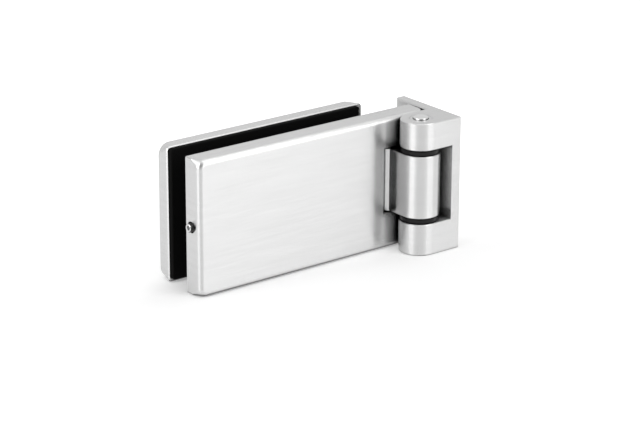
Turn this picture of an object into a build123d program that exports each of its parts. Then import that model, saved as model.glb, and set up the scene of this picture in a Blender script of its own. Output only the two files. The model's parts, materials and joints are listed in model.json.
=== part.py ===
from build123d import *
import os

# Glass clamp hinge in millimetres, +Z up along the hinge pin.
# The origin is the middle of the face that meets the door frame. +X points out of
# that face, and the clamp for the glass reaches away from it along -X, in front at -Y.

# Bracket on the frame side
height = 60.0
flange_thickness = 4.6
flange_depth = 38.4
flange_bevel = 0.55
edge_ease = 0.3
barrel_radius = 8.85
upper_knuckle = 12.2
lower_knuckle = 14.2
end_gap = 1.8

# Countersunk holes for the frame screws
frame_hole_radius = 2.75
frame_sink_radius = 5.5
frame_hole_pitch = 32.0

# Pin, bushes and the screw that closes the pin bore
knuckle_gap = 2.7
axial_play = 0.1
pin_radius = 4.0
pin_fit = 0.02
running_clearance = 0.05
pin_floor = 4.2
pin_chamfer = 0.5
pin_screw_radius = 5.0
pin_screw_length = 5.0
pin_screw_recess = 0.1
pin_screw_key = 5.0
bush_wall = 1.5
bush_length = 9.0
bush_flange_radius = 8.4
bush_flange_ease = 0.5
bush_fit = 0.02
leaf_bore_clearance = 0.5

# Front cover, a shell open to the back with a notch for the hinge arm
cover_length = 119.1
cover_depth = 9.6
cover_front_wall = 2.5
cover_side_wall = 2.0
cover_edge_radius = 2.4
cover_corner = 0.6
cover_front_corner = 5.2
cover_corner_depth = 5.7
cover_clearance = 0.15
face_clearance = 0.4
cavity_radius = 1.5
notch_side = 3.7
notch_below = 0.6
notch_above = 1.2
arm_flare = 1.9

# Screw that locks the cover to the leaf, standing out of its hole as delivered
cover_hole_radius = 2.5
cover_screw_radius = 2.0
cover_screw_length = 10.0
cover_screw_stand_out = 1.6
cover_screw_key = 2.0

# Clamp: gaskets, glass gap, rear plate and the screws through the glass
glass_thickness = 10.0
gasket_thickness = 2.0
rear_plate_length = 103.5
rear_plate_inset = 0.5
rear_plate_thickness = 6.9
rear_front_corner = 1.2
rear_back_corner = 5.2
rear_plate_ease = 0.6
rear_lip = 0.35
rear_lip_depth = 0.6
rear_floor = 1.5
gasket_inset = 0.8
gasket_corner = 1.0
clamp_pitch = 54.0
clamp_screw_radius = 3.0
clamp_head_radius = 6.0
clamp_screw_key = 4.0
clamp_hole_clearance = 0.25
screw_end_gap = 0.4
sleeve_wall = 3.5

# Fits shared by every screw
thread_fit = 0.02
screw_chamfer = 0.4
mouth_chamfer = 0.15
key_chamfer = 0.2
key_depth_share = 0.6

# Planes of the bracket and the knuckles
top_z = height / 2
bottom_z = -height / 2
flange_inner_x = -flange_thickness
knuckle_root_x = flange_inner_x / 2
axis_x = flange_inner_x - end_gap - barrel_radius
axis_y = barrel_radius - flange_depth / 2
upper_z = top_z - upper_knuckle
lower_z = bottom_z + lower_knuckle
arm_top = upper_z - knuckle_gap
arm_bottom = lower_z + knuckle_gap
arm_height = arm_top - arm_bottom
knuckle_back_y = axis_y + barrel_radius
frame_hole_y = (knuckle_back_y + flange_depth / 2) / 2

# Planes of the cover, the leaf inside it and the clamp behind it
cover_right_x = axis_x + barrel_radius
cover_left_x = cover_right_x - cover_length
cover_mid_x = (cover_left_x + cover_right_x) / 2
cover_front_y = knuckle_back_y + face_clearance
cover_back_y = cover_front_y + cover_depth
plate_length = cover_length - 2 * (cover_side_wall + cover_clearance)
plate_height = height - 2 * (cover_side_wall + cover_clearance)
plate_left_x = cover_left_x + cover_side_wall + cover_clearance
plate_front_y = cover_front_y + cover_front_wall + cover_clearance
plate_thickness = cover_back_y - plate_front_y
web_x = axis_x - barrel_radius
glass_front_y = cover_back_y + gasket_thickness
glass_back_y = glass_front_y + glass_thickness
rear_front_y = glass_back_y + gasket_thickness
rear_back_y = rear_front_y + rear_plate_thickness
rear_mid_x = cover_left_x + rear_plate_inset + rear_plate_length / 2
clamp_row = (rear_mid_x - clamp_pitch / 2, rear_mid_x + clamp_pitch / 2)
clamp_hole_radius = clamp_screw_radius + clamp_hole_clearance
clamp_screw_end_y = rear_back_y - rear_floor - screw_end_gap
cover_screw_grip = cover_screw_length - cover_screw_stand_out - (plate_left_x - cover_left_x)

# Levels along the pin
pin_screw_top = top_z - pin_screw_recess
pin_screw_depth = pin_screw_recess + pin_screw_length
pin_top = top_z - pin_screw_depth
pin_bottom = bottom_z + pin_floor
bush_inner_radius = pin_radius + running_clearance
bush_outer_radius = bush_inner_radius + bush_wall
bush_flange = knuckle_gap - axial_play


def upright(level):
    """Horizontal plane at a height, facing up."""
    return Plane.XY.offset(level)


def facing_front(y):
    """Upright plane at a depth, facing -Y; its own x runs along +X and its y along +Z."""
    return Plane.XZ.offset(-y)


def set_screw(mouth, radius, length, key):
    """Headless screw that lies behind its mouth plane, with a hexagon socket in that end."""
    with BuildPart() as screw:
        with BuildSketch(mouth):
            Circle(radius)
        extrude(amount=-length)
        ends = screw.edges().filter_by(GeomType.CIRCLE).sort_by_distance(mouth.origin)
        chamfer(ends[0], mouth_chamfer)
        chamfer(ends[1], screw_chamfer)
        with BuildSketch(mouth):
            RegularPolygon(key / 2, 6, major_radius=False)
        extrude(amount=-key * key_depth_share, mode=Mode.SUBTRACT)
        sides = screw.edges().filter_by(GeomType.LINE).sort_by_distance(mouth.origin)
        chamfer(sides[:6], key_chamfer)
    return screw.part


def bush(seat):
    """Flanged bush; the seat plane is the knuckle end that carries the flange."""
    with BuildPart() as sleeve:
        with BuildSketch(seat):
            Circle(bush_outer_radius - bush_fit)
        extrude(amount=-bush_length)
        with BuildSketch(seat):
            Circle(bush_flange_radius)
        extrude(amount=bush_flange)
        rim = sleeve.edges().filter_by(GeomType.CIRCLE).sort_by(SortBy.RADIUS)[-2:]
        chamfer(rim, bush_flange_ease)
        with BuildSketch(seat.offset(bush_flange)):
            Circle(bush_inner_radius)
        extrude(amount=-(bush_flange + bush_length), mode=Mode.SUBTRACT)
    return sleeve.part


# Bracket: flange against the frame and two knuckles joined to it
with BuildPart() as frame_bracket:
    with BuildSketch(upright(bottom_z)):
        with Locations((flange_inner_x / 2, 0)):
            Rectangle(flange_thickness, flange_depth)
    extrude(amount=height)
    inner_edges = frame_bracket.faces().sort_by(Axis.X)[0].edges().sort_by(Axis.Y)
    chamfer(inner_edges[1:], flange_bevel)
    for knuckle_base, knuckle_height in ((bottom_z, lower_knuckle), (upper_z, upper_knuckle)):
        with BuildSketch(upright(knuckle_base)):
            with Locations((axis_x, axis_y)):
                Circle(barrel_radius)
            with Locations(((axis_x + knuckle_root_x) / 2, axis_y)):
                Rectangle(knuckle_root_x - axis_x, 2 * barrel_radius)
        extrude(amount=knuckle_height)
    for level in (bottom_z, lower_z, upper_z, top_z):
        rim = frame_bracket.edges().filter_by_position(Axis.Z, level, level)
        chamfer(rim.filter_by(GeomType.CIRCLE), edge_ease)
    with Locations(Plane((axis_x, axis_y, top_z))):
        CounterBoreHole(
            radius=pin_radius + pin_fit,
            counter_bore_radius=pin_screw_radius + thread_fit,
            counter_bore_depth=pin_screw_depth,
            depth=height - pin_floor,
        )
    flange_inside = Plane((flange_inner_x, frame_hole_y, 0), x_dir=(0, 1, 0), z_dir=(-1, 0, 0))
    with Locations(flange_inside):
        with GridLocations(0, frame_hole_pitch, 1, 2):
            CounterSinkHole(frame_hole_radius, frame_sink_radius, counter_sink_angle=90)

# Hinge pin, held in the bracket between the blind floor and the screw above it
with BuildPart() as hinge_pin:
    with BuildSketch(upright(pin_bottom)):
        with Locations((axis_x, axis_y)):
            Circle(pin_radius)
    extrude(amount=pin_top - pin_bottom)
    chamfer(hinge_pin.edges(), pin_chamfer)

# Leaf: clamp plate inside the cover, and the arm with the middle knuckle in front of it
with BuildPart() as hinge_leaf:
    with BuildSketch(facing_front(cover_back_y)):
        with Locations((cover_mid_x, 0)):
            RectangleRounded(plate_length, plate_height, cavity_radius)
    extrude(amount=plate_thickness)
    with BuildSketch(upright(arm_bottom)):
        with BuildLine():
            nose = ThreePointArc(
                (web_x, axis_y), (axis_x, axis_y - barrel_radius), (cover_right_x, axis_y)
            )
            Polyline(
                nose @ 1,
                (cover_right_x, cover_back_y),
                (web_x - arm_flare, cover_back_y),
                (web_x - arm_flare, plate_front_y),
                (web_x, plate_front_y - arm_flare),
                nose @ 0,
            )
        make_face()
    extrude(amount=arm_height)
    for level in (arm_bottom, arm_top):
        rim = hinge_leaf.edges().filter_by_position(Axis.Z, level, level)
        chamfer(rim.filter_by(GeomType.CIRCLE), edge_ease)
    with Locations(Plane((axis_x, axis_y, arm_top))):
        Hole(pin_radius + leaf_bore_clearance, depth=arm_height)
        Hole(bush_outer_radius, depth=bush_length)
    with Locations(Plane((axis_x, axis_y, arm_bottom), z_dir=(0, 0, -1))):
        Hole(bush_outer_radius, depth=bush_length)
    for clamp_x in clamp_row:
        with Locations(Plane((clamp_x, plate_front_y, 0), z_dir=(0, -1, 0))):
            CounterSinkHole(
                clamp_hole_radius,
                clamp_head_radius + clamp_hole_clearance,
                depth=plate_thickness,
                counter_sink_angle=90,
            )
    leaf_end = Plane((plate_left_x, cover_back_y - plate_thickness / 2, 0), z_dir=(-1, 0, 0))
    with Locations(leaf_end):
        Hole(cover_screw_radius + thread_fit, depth=cover_screw_grip + screw_end_gap)

# Front cover: rounded at the front, hollow at the back, notched for the arm
with BuildPart() as front_cover:
    for y, corner in (
        (cover_back_y, cover_corner),
        (cover_front_y + cover_corner_depth, cover_corner),
        (cover_front_y, cover_front_corner),
    ):
        with BuildSketch(facing_front(y)) as outline:
            with Locations((cover_mid_x, 0)):
                Rectangle(cover_length, height)
            fillet(outline.vertices().group_by(Axis.X)[0], corner)
    loft(ruled=True)
    fillet(front_cover.faces().sort_by(Axis.Y)[0].edges(), cover_edge_radius)
    with BuildSketch(facing_front(cover_back_y)):
        with Locations((cover_mid_x, 0)):
            RectangleRounded(
                cover_length - 2 * cover_side_wall, height - 2 * cover_side_wall, cavity_radius
            )
    extrude(amount=cover_depth - cover_front_wall, mode=Mode.SUBTRACT)
    with BuildSketch(facing_front(cover_back_y)):
        with Locations((web_x - notch_side, arm_bottom - notch_below)):
            Rectangle(
                cover_right_x - web_x + notch_side,
                arm_height + notch_below + notch_above,
                align=(Align.MIN, Align.MIN),
            )
    extrude(amount=cover_depth, mode=Mode.SUBTRACT)
    cover_end = Plane((cover_left_x, cover_back_y - plate_thickness / 2, 0), z_dir=(-1, 0, 0))
    with Locations(cover_end):
        Hole(cover_hole_radius, depth=cover_side_wall)

# Front gasket on the back of the leaf
with BuildPart() as front_gasket:
    with BuildSketch(facing_front(glass_front_y)):
        with Locations((cover_mid_x, 0)):
            RectangleRounded(plate_length, plate_height, cavity_radius)
        with Locations(*[(clamp_x, 0) for clamp_x in clamp_row]):
            Circle(clamp_hole_radius, mode=Mode.SUBTRACT)
    extrude(amount=gasket_thickness)

# Rear gasket, set in from the edge of the rear plate
with BuildPart() as rear_gasket:
    with BuildSketch(facing_front(rear_front_y)):
        with Locations((rear_mid_x, 0)):
            RectangleRounded(
                rear_plate_length - 2 * gasket_inset,
                height - 2 * gasket_inset,
                gasket_corner,
            )
        with Locations(*[(clamp_x, 0) for clamp_x in clamp_row]):
            Circle(clamp_hole_radius, mode=Mode.SUBTRACT)
    extrude(amount=gasket_thickness)

# Rear plate with blind tapped holes for the clamp screws
with BuildPart() as rear_plate:
    for y, inset, corner in (
        (rear_back_y, rear_plate_ease, rear_back_corner - rear_plate_ease),
        (rear_back_y - rear_plate_ease, 0, rear_back_corner),
        (rear_front_y + rear_lip_depth, 0, rear_front_corner + rear_lip),
        (rear_front_y, rear_lip, rear_front_corner),
    ):
        with BuildSketch(facing_front(y)):
            with Locations((rear_mid_x, 0)):
                RectangleRounded(rear_plate_length - 2 * inset, height - 2 * inset, corner)
    loft(ruled=True)
    for clamp_x in clamp_row:
        with Locations(Plane((clamp_x, rear_front_y, 0), z_dir=(0, -1, 0))):
            Hole(clamp_screw_radius + thread_fit, depth=rear_plate_thickness - rear_floor)

# Countersunk screws that pull the rear plate towards the leaf
with BuildPart() as clamp_screws:
    for clamp_x in clamp_row:
        shank_x = clamp_x + clamp_screw_radius
        head_depth = clamp_head_radius - clamp_screw_radius
        with BuildSketch(Plane.XY):
            Polygon(
                (clamp_x, plate_front_y),
                (clamp_x + clamp_head_radius, plate_front_y),
                (shank_x, plate_front_y + head_depth),
                (shank_x, clamp_screw_end_y - screw_chamfer),
                (shank_x - screw_chamfer, clamp_screw_end_y),
                (clamp_x, clamp_screw_end_y),
                align=None,
            )
        revolve(axis=Axis((clamp_x, 0, 0), (0, 1, 0)))
        with BuildSketch(facing_front(plate_front_y)):
            with Locations((clamp_x, 0)):
                RegularPolygon(clamp_screw_key / 2, 6, major_radius=False)
        extrude(amount=-clamp_screw_key * key_depth_share, mode=Mode.SUBTRACT)

# Sleeves that keep the clamp screws off the edge of the holes in the glass
with BuildPart() as glass_sleeves:
    with BuildSketch(facing_front(glass_back_y)):
        with Locations(*[(clamp_x, 0) for clamp_x in clamp_row]):
            Circle(clamp_hole_radius + sleeve_wall)
            Circle(clamp_hole_radius, mode=Mode.SUBTRACT)
    extrude(amount=glass_thickness)

# Turned pieces on the pin axis and in the cover's end
upper_bush = bush(Plane((axis_x, axis_y, arm_top)))
lower_bush = bush(Plane((axis_x, axis_y, arm_bottom), z_dir=(0, 0, -1)))
pin_screw = set_screw(
    Plane((axis_x, axis_y, pin_screw_top)), pin_screw_radius, pin_screw_length, pin_screw_key
)
cover_screw_mouth = cover_end.offset(cover_screw_stand_out)
cover_screw = set_screw(cover_screw_mouth, cover_screw_radius, cover_screw_length, cover_screw_key)

pieces = {
    "frame_bracket": frame_bracket.part,
    "hinge_pin": hinge_pin.part,
    "pin_screw": pin_screw,
    "hinge_leaf": hinge_leaf.part,
    "upper_bush": upper_bush,
    "lower_bush": lower_bush,
    "front_cover": front_cover.part,
    "cover_screw": cover_screw,
    "front_gasket": front_gasket.part,
    "rear_gasket": rear_gasket.part,
    "rear_plate": rear_plate.part,
    "clamp_screws": clamp_screws.part,
    "glass_sleeves": glass_sleeves.part,
}

os.makedirs("parts", exist_ok=True)
for name, piece in pieces.items():
    piece.label = name
    export_step(piece, f"parts/{name}.step")
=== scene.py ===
import json
import math
import bpy
import bmesh
from mathutils import Matrix, Vector
from mathutils.geometry import tessellate_polygon


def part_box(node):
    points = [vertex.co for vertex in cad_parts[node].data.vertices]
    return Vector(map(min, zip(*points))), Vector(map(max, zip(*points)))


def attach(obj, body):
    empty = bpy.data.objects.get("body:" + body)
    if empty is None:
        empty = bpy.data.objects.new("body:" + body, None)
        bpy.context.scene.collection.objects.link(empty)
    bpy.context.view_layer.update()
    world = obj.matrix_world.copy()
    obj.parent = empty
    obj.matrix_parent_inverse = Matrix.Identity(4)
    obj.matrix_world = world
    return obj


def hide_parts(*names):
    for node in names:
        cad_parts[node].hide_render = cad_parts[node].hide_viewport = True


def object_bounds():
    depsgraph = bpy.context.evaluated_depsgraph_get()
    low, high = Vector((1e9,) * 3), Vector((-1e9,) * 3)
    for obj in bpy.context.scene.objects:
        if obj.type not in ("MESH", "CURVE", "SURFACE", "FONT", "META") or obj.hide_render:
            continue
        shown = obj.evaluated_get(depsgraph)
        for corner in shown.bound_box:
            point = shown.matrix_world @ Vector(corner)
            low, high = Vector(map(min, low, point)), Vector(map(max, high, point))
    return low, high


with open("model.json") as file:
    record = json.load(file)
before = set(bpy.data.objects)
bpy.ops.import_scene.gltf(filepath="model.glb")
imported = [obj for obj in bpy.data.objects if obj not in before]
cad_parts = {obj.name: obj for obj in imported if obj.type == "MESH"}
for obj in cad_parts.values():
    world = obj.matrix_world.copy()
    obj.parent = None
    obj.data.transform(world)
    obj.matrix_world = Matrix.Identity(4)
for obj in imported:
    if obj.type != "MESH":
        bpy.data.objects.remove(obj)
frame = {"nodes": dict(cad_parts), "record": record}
cad_low, cad_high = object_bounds()
cad_middle = (cad_low + cad_high) / 2
nodes = frame["nodes"]

# Camera, worked out from the edges of the object in the photograph
CAMERA_TURN = math.radians(37.9956)
CAMERA_RISE = math.radians(19.7471)
CAMERA_ROLL = math.radians(0.2338)
CAMERA_DISTANCE = 1.06346
CAMERA_LENS = 140.284
SENSOR_WIDTH = 36.0
AIM_FROM_COVER = Vector((0.0627045, 0.0, 0.0241887))

# Way to the camera
CAMERA_SIDE = Vector((
    -math.sin(CAMERA_TURN) * math.cos(CAMERA_RISE),
    -math.cos(CAMERA_TURN) * math.cos(CAMERA_RISE),
    math.sin(CAMERA_RISE),
))

# Studio: its light, what metal mirrors of it, and the cosines between which it darkens to the camera
STUDIO_LIGHT = 0.55
STUDIO_MIRRORED = 0.92
STUDIO_DARK = 0.25
DARK_START = 0.80
DARK_END = 0.97

# Lamps: name, azimuth and rise in degrees, distance, size and glow
LAMPS = (
    ("left_softbox", 182, 25, 1.0, 0.62, 2.3),
    ("left_surround", 182, 25, 1.05, 1.2, 0.7),
    ("front_softbox", 294, 25, 1.0, 0.63, 2.8),
    ("top_softbox", 330, 75, 1.0, 0.8, 1.2),
)

# Floor: its paint, and the painted glow that turns it to plain white away from the object
FLOOR_HALF = 3.0
FLOOR_PAINT = 0.8
FLOOR_NEAR = 0.06
FLOOR_FAR = 0.25
GLOW_NEAR = 0.15
GLOW_FAR = 0.45
GLOW_MIRRORED = 0.38

# Way to the back of the object, and the stretch along it on which painted light makes the floor lighter
# over its shadow
FLOOR_BACK = Vector((0.24, 0.97, 0.0))
BACK_START = -0.015
BACK_END = 0.010
BACK_GLOW = 0.17

# Painted shade in gaps, multiplied into the base colour of steel: reach, open share where it is darkest
# and where it ends, darkest tone
GAP_SHADES = ((0.003, 0.30, 0.63, 0.2), (0.008, 0.15, 0.5, 0.7))
GAP_SAMPLES = 8

# Inner side of the flange, brushed upright: its middle, its reach in plan and the largest X of its normals
FLANGE_SIDE = Vector((-0.0046, 0.0, 0.0))
FLANGE_REACH = 0.0193
FLANGE_FACING = -0.7

# Small step that gives level faces a direction of brushing too
LEVEL_STEP = (0.001, 0.0, 0.0)

# Brushed steel: scales of the noise along and across the brushing, its make-up, tones and relief
FINE_STREAKS = (70.0, 5200.0)
BROAD_STREAKS = (30.0, 700.0)
STREAK_DETAIL = 3.0
STREAK_ROUGHNESS = 0.65
STREAK_TONES = (0.92, 1.08)
STREAK_STRENGTH = 0.03
STREAK_HEIGHT = 0.00002

# Grain of rubber, nylon and the screw with the dark thread
GRAIN_SCALE = 2500.0
GRAIN_DETAIL = 4.0
GRAIN_TONES = (0.8, 1.2)
GRAIN_ROUGHNESS = 0.08
GRAIN_STRENGTH = 0.2
GRAIN_HEIGHT = 0.00004
SCREW_GRAIN_SCALE = 4000.0
SCREW_GRAIN_DETAIL = 3.0

# Tones and gloss of the screw's dark thread and its bare end
SCREW_BARE_TONE = 0.62
SCREW_BLACK_TONE = 0.05
SCREW_ROUGHNESS = 0.22

# Sockets of the mix node for each kind of value: its two inputs and its output
MIX_SOCKETS = {"FLOAT": (2, 3, 0), "VECTOR": (4, 5, 1), "RGBA": (6, 7, 2)}

# Meshes of the small pieces
SHARP_ANGLE = math.radians(32)
ROUND_STEPS = 72
EDGE_STEPS = 6

# Set screw in the end of the cover
SCREW_RADIUS = 0.0020
SCREW_END_RADIUS = 0.00155
SCREW_KEY = 0.0020
KEY_DEPTH = 0.0022
KEY_TIP_DEPTH = 0.00275
KEY_TIP_RADIUS = 0.00005
MOUTH_RADIUS = 0.00128
MOUTH_DEPTH = 0.00012
THREAD_PITCH = 0.0007
THREAD_DEPTH = 0.00040
THREAD_STEPS = 12
THREAD_CREST = 0.12
THREAD_FLANK = 0.7
BARE_DEPTH = 0.0003

# Polished end of the pin on top of the bracket, and the plug round it
PIN_END_RADIUS = 0.0033
PIN_END_RISE = 0.00075
PIN_END_EDGE = 0.00035
PIN_END_GROOVE = 0.00015
PLUG_EASE = 0.0001
PLUG_CHAMFER_SHARE = 0.1

# Radii of the caps that close these round pieces, as shares of the radius beside them
GROOVE_CAP = 0.5
PIN_FOOT_CAP = 0.9
PIN_TOP_CAP = 0.3

# Rubber sheet on the rear plate
GASKET_SHORT = 0.0020
GASKET_LIFT = 0.0006
GASKET_EASE = 0.0003
GASKET_CORNER = 0.001
GASKET_HOLE = 0.00325


# Meshes

def link(obj):
    """Put a new object into the scene."""
    bpy.context.scene.collection.objects.link(obj)
    return obj


def make_mesh(name, points, faces):
    """Mesh with its normals outwards, smooth except at sharp edges."""
    mesh = bpy.data.meshes.new(name)
    mesh.from_pydata(points, [], faces)
    work = bmesh.new()
    work.from_mesh(mesh)
    bmesh.ops.recalc_face_normals(work, faces=work.faces)
    work.to_mesh(mesh)
    work.free()
    mesh.shade_smooth()
    mesh.set_sharp_from_angle(angle=SHARP_ANGLE)
    return mesh


def make_piece(name, points, faces, body, slot, node=None, finish=None):
    """Piece that moves with a body, may stand for a CAD node, and has its slot's or its own finish."""
    mesh = make_mesh(name, points, faces)
    mesh.materials.append(finish or FINISH[slot])
    piece = link(bpy.data.objects.new(name, mesh))
    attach(piece, body)
    if node:
        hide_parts(node)


def skin(loops, start=0):
    """Faces between loops of equal length, whose points are numbered from start."""
    count = len(loops[0])
    faces = []
    for row in range(len(loops) - 1):
        a = start + row * count
        b = a + count
        for i in range(count):
            j = (i + 1) % count
            faces.append((a + i, a + j, b + j, b + i))
    return faces


def closed_skin(loops):
    """Points and faces of a skin over the loops, with a cap at each end."""
    count = len(loops[0])
    points = [point for loop in loops for point in loop]
    last = len(points) - count
    faces = skin(loops)
    faces.append(tuple(range(count)))
    faces.append(tuple(range(last, last + count)))
    return points, faces


def angles():
    """Even steps round a full turn."""
    return [2 * math.pi * i / ROUND_STEPS for i in range(ROUND_STEPS)]


def revolved(x, y, profile):
    """Points and faces of a solid turned about an upright axis from pairs of radius and height."""
    loops = [[(x + r * math.cos(a), y + r * math.sin(a), z) for a in angles()] for r, z in profile]
    return closed_skin(loops)


# Set screw in the end of the cover

def hexagon_radius(angle, key):
    """Distance from the middle to the side of a hexagon that fits the key."""
    step = math.pi / 3
    return key / 2 / math.cos((angle + step / 2) % step - step / 2)


def thread_radius(depth, angle):
    """Radius of the screw thread, which climbs one pitch in each turn."""
    turn = (depth / THREAD_PITCH + angle / (2 * math.pi)) % 1.0
    slope = min(max((abs(2 * turn - 1) - THREAD_CREST) / THREAD_FLANK, 0.0), 1.0)
    return SCREW_RADIUS - THREAD_DEPTH * slope


def make_cover_screw():
    """Set screw with a hexagon socket and a thread, standing out of the end of the cover."""
    low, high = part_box("cover_screw")
    length = high.x - low.x
    y, z = (low.y + high.y) / 2, (low.z + high.z) / 2

    def loop(depth, radius):
        """Points round the screw at a depth below its end; radius is a function of the angle."""
        return [
            (low.x + depth, y + radius(a) * math.cos(a), z + radius(a) * math.sin(a)) for a in angles()
        ]

    def ring(depth, radius):
        """Round loop."""
        return loop(depth, lambda a: radius)

    def socket(depth):
        """Hexagon loop that fits the key."""
        return loop(depth, lambda a: hexagon_radius(a, SCREW_KEY))

    loops = [
        ring(KEY_TIP_DEPTH, KEY_TIP_RADIUS), socket(KEY_DEPTH), socket(MOUTH_DEPTH),
        ring(0.0, MOUTH_RADIUS), ring(0.0, SCREW_END_RADIUS),
    ]
    rows = int(length / THREAD_PITCH * THREAD_STEPS)
    for row in range(rows + 1):
        depth = length * row / rows
        limit = SCREW_END_RADIUS + min(depth, length - depth)
        loops.append(loop(depth, lambda a: min(limit, thread_radius(depth, a))))
    points, faces = closed_skin(loops)
    finish = dark_thread_screw("dark_thread_screw", Vector((low.x, y, z)))
    make_piece("cover_set_screw", points, faces, "leaf", "bright_steel", "cover_screw", finish)


# Pin end in the top of the bracket

def pin_place():
    """Axis of the pin, radius and bottom of its plug, floor of the groove and top of the bracket."""
    low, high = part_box("pin_screw")
    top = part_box("frame_bracket")[1].z
    x, y = (low.x + high.x) / 2, (low.y + high.y) / 2
    return x, y, (high.x - low.x) / 2, low.z, top - 2 * PIN_END_GROOVE, top


def make_pin_plug():
    """Plug of the pin bore, level with the bracket, with a groove round the pin end."""
    x, y, plug, bottom, floor, top = pin_place()
    chamfer = plug * PLUG_CHAMFER_SHARE
    groove = PIN_END_RADIUS + PIN_END_GROOVE
    points, faces = revolved(x, y, [
        (plug - chamfer, bottom), (plug, bottom + chamfer),
        (plug, top - PLUG_EASE), (plug - PLUG_EASE, top),
        (groove + PLUG_EASE, top), (groove, top - PLUG_EASE),
        (groove, floor), (PIN_END_RADIUS * GROOVE_CAP, floor),
    ])
    make_piece("pin_plug", points, faces, "frame", "satin_steel", "pin_screw")


def make_pin_end():
    """Polished pin end with a rounded edge, which stands up in the plug."""
    x, y, _, _, floor, bracket_top = pin_place()
    top = bracket_top + PIN_END_RISE
    rim = PIN_END_RADIUS - PIN_END_EDGE
    profile = [(PIN_END_RADIUS * PIN_FOOT_CAP, floor), (PIN_END_RADIUS, floor)]
    for step in range(EDGE_STEPS + 1):
        turn = math.pi / 2 * step / EDGE_STEPS
        radius = rim + PIN_END_EDGE * math.cos(turn)
        profile.append((radius, top - PIN_END_EDGE * (1 - math.sin(turn))))
    profile += [(rim - PLUG_EASE, top), (rim * PIN_TOP_CAP, top)]
    points, faces = revolved(x, y, profile)
    make_piece("pin_end", points, faces, "frame", "bright_steel")


# Rubber sheet on the rear plate

def rounded_outline(low, high, corner):
    """Corners of a rounded rectangle, as pairs of X and Z."""
    outline = []
    for turn, (x, z) in enumerate((
        (high.x - corner, high.z - corner), (low.x + corner, high.z - corner),
        (low.x + corner, low.z + corner), (high.x - corner, low.z + corner),
    )):
        for step in range(EDGE_STEPS + 1):
            a = math.pi / 2 * (turn + step / EDGE_STEPS)
            outline.append((x + corner * math.cos(a), z + corner * math.sin(a)))
    return outline


def gasket_box():
    """Corners of the rubber sheet, which ends short of the hinge side."""
    low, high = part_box("rear_gasket")
    low, high = low.copy(), high.copy()
    high.x -= GASKET_SHORT
    high.z += GASKET_LIFT / 2
    low.z += GASKET_LIFT
    return low, high


def gasket_sides(low, high):
    """Loops round the sheet, from its back to its eased front edge."""
    sides = []
    for y, ease in ((high.y, 0.0), (low.y + GASKET_EASE, 0.0), (low.y, GASKET_EASE)):
        inset = Vector((ease, 0.0, ease))
        outline = rounded_outline(low + inset, high - inset, GASKET_CORNER)
        sides.append([(x, y, z) for x, z in outline])
    return sides


def gasket_holes(low, high):
    """For each clamp screw, the rims of its hole at the front and the back of the sheet."""
    sleeve_low, sleeve_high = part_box("glass_sleeves")
    sleeve = (sleeve_high.z - sleeve_low.z) / 2
    holes = []
    for x in (sleeve_low.x + sleeve, sleeve_high.x - sleeve):
        holes.append([
            [(x + GASKET_HOLE * math.cos(a), y, GASKET_HOLE * math.sin(a)) for a in angles()]
            for y in (low.y, high.y)
        ])
    return holes


def flat_faces(points, rims):
    """Faces that fill the first rim of points, leaving out the holes in the others."""
    numbers = [number for rim in rims for number in rim]
    flat = [[Vector((points[n][0], points[n][2], 0.0)) for n in rim] for rim in rims]
    return [tuple(numbers[i] for i in corner) for corner in tessellate_polygon(flat)]


def make_rear_gasket():
    """Rubber sheet on the rear plate, with a soft front edge and two holes."""
    low, high = gasket_box()
    sides = gasket_sides(low, high)
    count = len(sides[0])
    points = [point for loop in sides for point in loop]
    faces = skin(sides)
    backs = [list(range(count))]
    fronts = [list(range(2 * count, 3 * count))]
    for hole in gasket_holes(low, high):
        start = len(points)
        faces += skin(hole, start)
        fronts.append(list(range(start, start + ROUND_STEPS)))
        backs.append(list(range(start + ROUND_STEPS, start + 2 * ROUND_STEPS)))
        points += hole[0] + hole[1]
    for rims in (fronts, backs):
        faces += flat_faces(points, rims)
    make_piece("rear_rubber", points, faces, "leaf", "black_gasket", "rear_gasket")


# Shader nodes

class Nodes:
    """Short way to add and join the nodes of one tree."""

    def __init__(self, tree):
        self.tree = tree
        tree.nodes.clear()

    def add(self, kind, inputs=None, **settings):
        """New node with its settings, and with a link or a value at each named input."""
        node = self.tree.nodes.new(kind)
        for key, value in settings.items():
            setattr(node, key, value)
        for key, value in (inputs or {}).items():
            if isinstance(value, bpy.types.NodeSocket):
                self.tree.links.new(value, node.inputs[key])
            else:
                node.inputs[key].default_value = value
        return node


def new_material(name):
    """Empty material and its node tree."""
    material = bpy.data.materials.new(name)
    material.use_nodes = True
    return material, Nodes(material.node_tree)


def coordinate(tree, name):
    """Place or normal of the point that is shaded."""
    return tree.add("ShaderNodeTexCoord").outputs[name]


def axis_of(tree, vector, axis):
    """One part of a vector: X, Y or Z."""
    return tree.add("ShaderNodeSeparateXYZ", {0: vector}).outputs[axis]


def math_node(tree, operation, a, b):
    """Result of an operation on two numbers."""
    return tree.add("ShaderNodeMath", {0: a, 1: b}, operation=operation).outputs[0]


def vector_math(tree, operation, a, b=(0, 0, 0), output="Vector"):
    """Result of an operation on two vectors, as a vector or a value."""
    return tree.add("ShaderNodeVectorMath", {0: a, 1: b}, operation=operation).outputs[output]


def mixed(tree, kind, share, first, second, blend="MIX"):
    """First value where the share is zero, second where it is one, or another blend of the two."""
    a, b, result = MIX_SOCKETS[kind]
    inputs = {0: share, a: first, b: second}
    return tree.add("ShaderNodeMix", inputs, data_type=kind, blend_type=blend).outputs[result]


def remap(tree, value, low, high, start=0.0, end=1.0, kind="LINEAR"):
    """Value that goes from low to high while the given one goes from start to end."""
    return tree.add("ShaderNodeMapRange", {
        "Value": value, "From Min": start, "From Max": end, "To Min": low, "To Max": high,
    }, interpolation_type=kind).outputs[0]


def noise_of(tree, place, scale, detail):
    """Even noise, from zero to one."""
    inputs = {"Vector": place, "Scale": scale, "Detail": detail}
    return tree.add("ShaderNodeTexNoise", inputs).outputs["Fac"]


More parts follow.
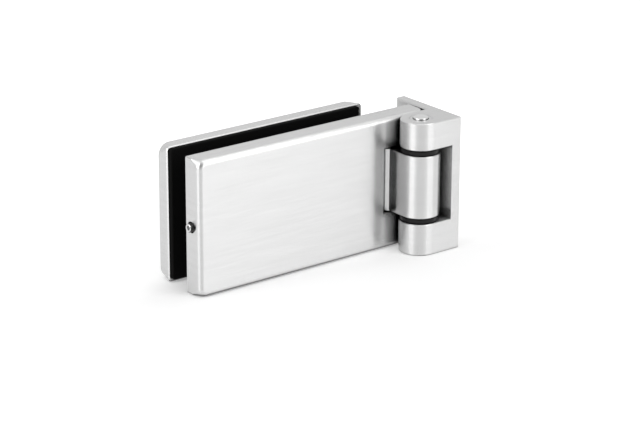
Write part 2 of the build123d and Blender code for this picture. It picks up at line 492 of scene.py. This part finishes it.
def tinted(tree, color, tone):
    """The colour times a grey tone."""
    return mixed(tree, "RGBA", 1.0, (*color, 1), tone, "MULTIPLY")


# Finishes

def streaks(tree, along, across):
    """Fine brushing lines that run level on upright faces and along X on level ones."""
    place = coordinate(tree, "Object")
    normal = coordinate(tree, "Normal")
    lines = []
    for scale in ((along, along, across), (along, across, along)):
        mapped = tree.add("ShaderNodeMapping", {"Vector": place, "Scale": scale})
        noise = tree.add("ShaderNodeTexNoise", {
            "Vector": mapped.outputs[0], "Scale": 1.0,
            "Detail": STREAK_DETAIL, "Roughness": STREAK_ROUGHNESS,
        })
        lines.append(noise.outputs["Fac"])
    level = math_node(tree, "ABSOLUTE", axis_of(tree, normal, "Z"), 0.0)
    return mixed(tree, "FLOAT", level, lines[0], lines[1])


def brushed_upright(tree):
    """One on the inner side of the flange, zero elsewhere."""
    in_plan = vector_math(tree, "MULTIPLY", coordinate(tree, "Object"), (1, 1, 0))
    away = vector_math(tree, "DISTANCE", in_plan, FLANGE_SIDE, "Value")
    near = math_node(tree, "LESS_THAN", away, FLANGE_REACH)
    normal_x = axis_of(tree, coordinate(tree, "Normal"), "X")
    return math_node(tree, "MULTIPLY", near, math_node(tree, "LESS_THAN", normal_x, FLANGE_FACING))


def across_brushing(tree):
    """Direction along the surface that crosses the brushing; highlights spread along it."""
    normal = tree.add("ShaderNodeNewGeometry").outputs["Normal"]
    level = vector_math(tree, "CROSS_PRODUCT", normal, (0, 0, 1))
    level = vector_math(tree, "NORMALIZE", vector_math(tree, "ADD", level, LEVEL_STEP))
    upright = vector_math(tree, "NORMALIZE", vector_math(tree, "CROSS_PRODUCT", normal, level))
    return mixed(tree, "VECTOR", brushed_upright(tree), upright, level)


def painted_gap_shade(tree):
    """Painted shade: one in the open, darker close to the floor and in corners, darkest in narrow gaps."""
    tone = 1.0
    for reach, shut, wide_open, darkest in GAP_SHADES:
        occlusion = tree.add("ShaderNodeAmbientOcclusion", {"Distance": reach}, samples=GAP_SAMPLES)
        shade = remap(tree, occlusion.outputs["AO"], darkest, 1.0, shut, wide_open)
        tone = math_node(tree, "MULTIPLY", shade, tone)
    return tone


def brushed_steel(name, color, roughness, anisotropic):
    """Steel with fine streaks and painted shade in its gaps, whose highlights spread across the brushing
    if it is anisotropic.
    """
    material, tree = new_material(name)
    fine = streaks(tree, *FINE_STREAKS)
    broad = remap(tree, streaks(tree, *BROAD_STREAKS), *STREAK_TONES)
    # Tone of the base colour: broad streaks times painted shade in gaps, in corners and near the floor
    tone = math_node(tree, "MULTIPLY", broad, painted_gap_shade(tree))
    bump = tree.add("ShaderNodeBump", {
        "Height": fine, "Strength": STREAK_STRENGTH, "Distance": STREAK_HEIGHT,
    })
    shader = tree.add("ShaderNodeBsdfPrincipled", {
        "Base Color": tinted(tree, color, tone),
        "Metallic": 1.0,
        "Roughness": roughness,
        "Anisotropic": anisotropic,
        "Tangent": across_brushing(tree),
        "Normal": bump.outputs[0],
    })
    tree.add("ShaderNodeOutputMaterial", {"Surface": shader.outputs[0]})
    return material


def dark_thread_screw(name, end):
    """Dark thread round a bare end and socket; end is the middle of the end face."""
    material, tree = new_material(name)
    place = coordinate(tree, "Object")
    inwards = vector_math(tree, "SUBTRACT", place, end)
    sideways = vector_math(tree, "MULTIPLY", inwards, (0, 1, 1))
    outwards = vector_math(tree, "LENGTH", sideways, output="Value")
    # Dark on the thread beyond a shallow band at the end; bare on the end face and in the socket
    deep = math_node(tree, "GREATER_THAN", axis_of(tree, inwards, "X"), BARE_DEPTH)
    outside = math_node(tree, "GREATER_THAN", outwards, MOUTH_RADIUS)
    black = math_node(tree, "MULTIPLY", deep, outside)
    tone = remap(tree, black, SCREW_BARE_TONE, SCREW_BLACK_TONE)
    grain = noise_of(tree, place, SCREW_GRAIN_SCALE, SCREW_GRAIN_DETAIL)
    grain = remap(tree, grain, *GRAIN_TONES)
    shader = tree.add("ShaderNodeBsdfPrincipled", {
        "Base Color": tinted(tree, (1.0, 1.0, 1.0), math_node(tree, "MULTIPLY", tone, grain)),
        "Metallic": 1.0,
        "Roughness": SCREW_ROUGHNESS,
    })
    tree.add("ShaderNodeOutputMaterial", {"Surface": shader.outputs[0]})
    return material


def grained(name, color, roughness, specular):
    """Rubber or nylon with a fine grain in its colour, gloss and relief."""
    material, tree = new_material(name)
    grain = noise_of(tree, coordinate(tree, "Object"), GRAIN_SCALE, GRAIN_DETAIL)
    tone = remap(tree, grain, *GRAIN_TONES)
    bump = tree.add("ShaderNodeBump", {
        "Height": grain, "Strength": GRAIN_STRENGTH, "Distance": GRAIN_HEIGHT,
    })
    shader = tree.add("ShaderNodeBsdfPrincipled", {
        "Base Color": tinted(tree, color, tone),
        "Roughness": remap(tree, grain, roughness - GRAIN_ROUGHNESS, roughness + GRAIN_ROUGHNESS),
        "Specular IOR Level": specular,
        "Normal": bump.outputs[0],
    })
    tree.add("ShaderNodeOutputMaterial", {"Surface": shader.outputs[0]})
    return material


# Studio

def make_camera():
    """Camera that looks at the front of the cover from the left and from above."""
    cover_low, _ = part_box("front_cover")
    aim = cover_low + AIM_FROM_COVER
    back = CAMERA_SIDE
    right = Vector((math.cos(CAMERA_TURN), -math.sin(CAMERA_TURN), 0.0))
    up = back.cross(right)
    turn = Matrix((right, up, back)).transposed() @ Matrix.Rotation(CAMERA_ROLL, 3, "Z")
    data = bpy.data.cameras.new("camera")
    data.lens = CAMERA_LENS
    data.sensor_width = SENSOR_WIDTH
    data.sensor_fit = "HORIZONTAL"
    camera = link(bpy.data.objects.new("camera", data))
    camera.matrix_world = Matrix.Translation(aim + back * CAMERA_DISTANCE) @ turn.to_4x4()
    bpy.context.scene.camera = camera


def floor_material():
    """White paint that keeps the shadow, with a painted glow to the camera: weak near the object, most
    away from it and behind it, where it lightens the shadow.
    """
    material, tree = new_material("floor_white")
    paint = tree.add("ShaderNodeBsdfDiffuse", {"Color": (FLOOR_PAINT, FLOOR_PAINT, FLOOR_PAINT, 1)})
    place = coordinate(tree, "Object")
    away = vector_math(tree, "DISTANCE", place, cad_middle, "Value")
    fade = remap(tree, away, GLOW_NEAR, GLOW_FAR, FLOOR_NEAR, FLOOR_FAR, "SMOOTHSTEP")
    from_middle = vector_math(tree, "SUBTRACT", place, cad_middle)
    behind = vector_math(tree, "DOT_PRODUCT", from_middle, FLOOR_BACK, "Value")
    # Painted light behind the object, which lightens its shadow there
    lift = remap(tree, behind, 0.0, BACK_GLOW, BACK_START, BACK_END, "SMOOTHSTEP")
    path = tree.add("ShaderNodeLightPath").outputs
    direct = math_node(tree, "MULTIPLY", path["Is Camera Ray"], math_node(tree, "ADD", fade, lift))
    mirrored = math_node(tree, "MULTIPLY", path["Is Glossy Ray"], GLOW_MIRRORED)
    glow = tree.add("ShaderNodeEmission", {"Strength": math_node(tree, "ADD", direct, mirrored)})
    both = tree.add("ShaderNodeAddShader", {0: paint.outputs[0], 1: glow.outputs[0]})
    tree.add("ShaderNodeOutputMaterial", {"Surface": both.outputs[0]})
    return material


def make_floor():
    """Large square floor that the object stands on."""
    half, z = FLOOR_HALF, cad_low.z
    mesh = bpy.data.meshes.new("floor")
    corners = [(-half, -half, z), (half, -half, z), (half, half, z), (-half, half, z)]
    mesh.from_pydata(corners, [], [(0, 1, 2, 3)])
    mesh.materials.append(floor_material())
    floor = link(bpy.data.objects.new("floor", mesh))


def make_world():
    """White studio; metal mirrors it a little darker, and much darker round the camera."""
    world = bpy.data.worlds.new("studio")
    world.use_nodes = True
    tree = Nodes(world.node_tree)
    facing = vector_math(tree, "DOT_PRODUCT", coordinate(tree, "Generated"), CAMERA_SIDE, "Value")
    shade = remap(tree, facing, STUDIO_MIRRORED, STUDIO_DARK, DARK_START, DARK_END, "SMOOTHSTEP")
    path = tree.add("ShaderNodeLightPath").outputs
    mirrored = math_node(tree, "MAXIMUM", path["Is Glossy Ray"], path["Is Transmission Ray"])
    strength = mixed(tree, "FLOAT", mirrored, STUDIO_LIGHT, shade)
    strength = math_node(tree, "MAXIMUM", strength, path["Is Camera Ray"])
    sky = tree.add("ShaderNodeBackground", {"Color": (1, 1, 1, 1), "Strength": strength})
    tree.add("ShaderNodeOutputWorld", {"Surface": sky.outputs[0]})
    bpy.context.scene.world = world


def softbox(name, azimuth, rise, distance, size, glow):
    """Square lamp that faces the object; azimuth counts from +X towards +Y."""
    data = bpy.data.lights.new(name, "AREA")
    data.shape = "SQUARE"
    data.size = size
    data.energy = glow * math.pi * size ** 2
    lamp = link(bpy.data.objects.new(name, data))
    a, e = math.radians(azimuth), math.radians(rise)
    away = Vector((math.cos(a) * math.cos(e), math.sin(a) * math.cos(e), math.sin(e)))
    lamp.location = cad_middle + away * distance
    lamp.rotation_euler = away.to_track_quat("Z", "Y").to_euler()


# Finish of each slot in the record
FINISH = {
    "satin_steel": brushed_steel("satin_steel", (0.60, 0.60, 0.60), roughness=0.27, anisotropic=1.0),
    "bright_steel": brushed_steel("bright_steel", (0.62, 0.62, 0.62), roughness=0.13, anisotropic=0.0),
    "black_gasket": grained("black_gasket", (0.003, 0.003, 0.003), roughness=0.8, specular=0.06),
    "black_nylon": grained("black_nylon", (0.003, 0.003, 0.003), roughness=0.24, specular=0.22),
    "clear_nylon": grained("natural_nylon", (0.74, 0.74, 0.71), roughness=0.5, specular=0.4),
}
for part in frame["record"]["subparts"]:
    slots = nodes[part["node"]].data.materials
    slots.clear()
    slots.append(FINISH[part["material_slot"]])

make_cover_screw()
make_pin_plug()
make_pin_end()
make_rear_gasket()
make_camera()
make_floor()
make_world()
for lamp in LAMPS:
    softbox(*lamp)

scene = bpy.context.scene
scene.view_settings.view_transform = "Standard"
